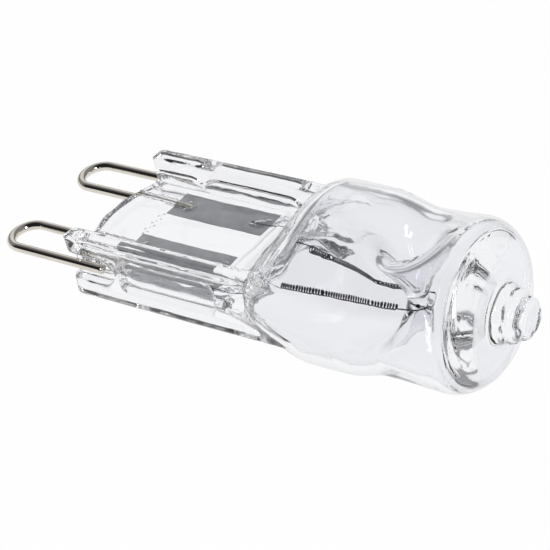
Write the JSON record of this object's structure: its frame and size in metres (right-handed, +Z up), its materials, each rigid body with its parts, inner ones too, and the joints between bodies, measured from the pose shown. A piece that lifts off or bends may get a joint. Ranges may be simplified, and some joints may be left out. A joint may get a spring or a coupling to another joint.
{
  "type": "halogen capsule bulb",
  "caption": "Clear quartz capsule lamp with a flat pinched end, wire contact loops, a dented round bulb holding a coiled filament, and a sealed pump stub.",
  "frame": {"origin": "centre of the resting lamp's box, on the surface it lies on", "axes": "+X along the lamp from the wire loops to the pump stub, +Z up, +Y across the two loops"},
  "size_m": [0.0434, 0.014, 0.0155],
  "materials": {
    "quartz": "clear fused quartz, fire-polished, slightly wavy where it was pinched",
    "contact_wire": "drawn nickel-plated wire, satin with fine lengthwise lines",
    "sealing_foil": "rolled molybdenum foil, matt grey with welded spots",
    "filament_wire": "bare tungsten wire, dark grey"
  },
  "bodies": {
    "root": {"quartz_envelope": "quartz", "near_wire_loop": "contact_wire", "far_wire_loop": "contact_wire", "near_foil": "sealing_foil", "far_foil": "sealing_foil", "filament": "filament_wire"}
  },
  "joints": []
}
